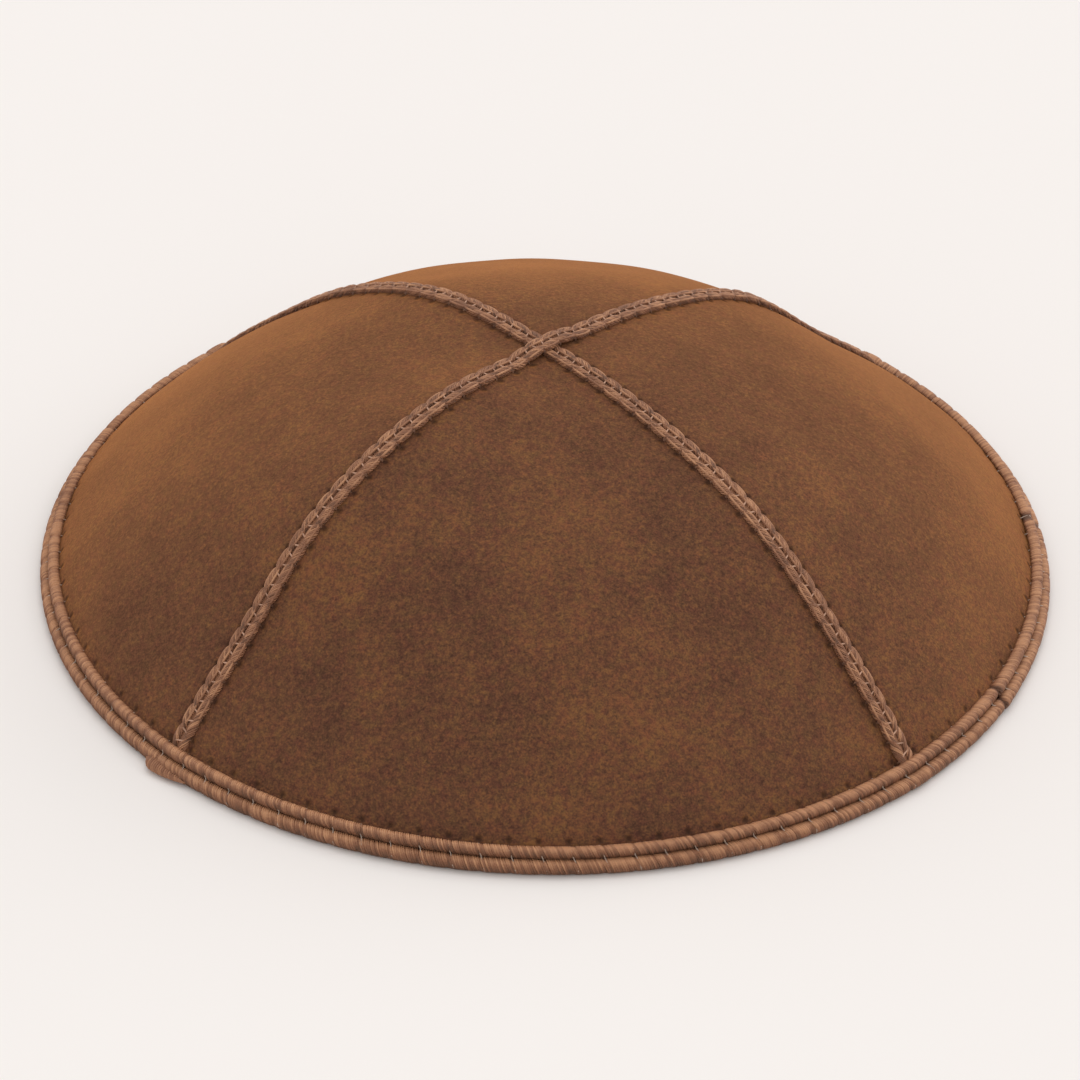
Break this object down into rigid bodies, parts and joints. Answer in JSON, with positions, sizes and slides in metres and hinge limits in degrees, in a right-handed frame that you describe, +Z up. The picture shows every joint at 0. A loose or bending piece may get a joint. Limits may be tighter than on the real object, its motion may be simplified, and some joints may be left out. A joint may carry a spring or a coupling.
{
  "type": "kippah skullcap",
  "caption": "Shallow round suede skullcap of sewn panels, with flat braid over the crossing seams and a folded braid binding round its rim.",
  "frame": {"origin": "on the surface that the cap rests on, under the middle of the rim; the rim's underside is at z = 0", "axes": "+Z up through the crown, -Y towards the middle of the front panel, +X towards the right panel; the seams lie on the diagonals"},
  "size_m": [0.1702, 0.1689, 0.0453],
  "materials": {
    "suede": "brown suede, matt, brushed nap",
    "braid": "lighter brown twisted thread, soft sheen"
  },
  "bodies": {
    "root": {"panel_front": "suede", "panel_right": "suede", "panel_back": "suede", "panel_left": "suede", "seam_braid_under": "braid", "seam_braid_over": "braid", "rim_braid": "braid", "braid_tail": "braid"}
  },
  "joints": []
}
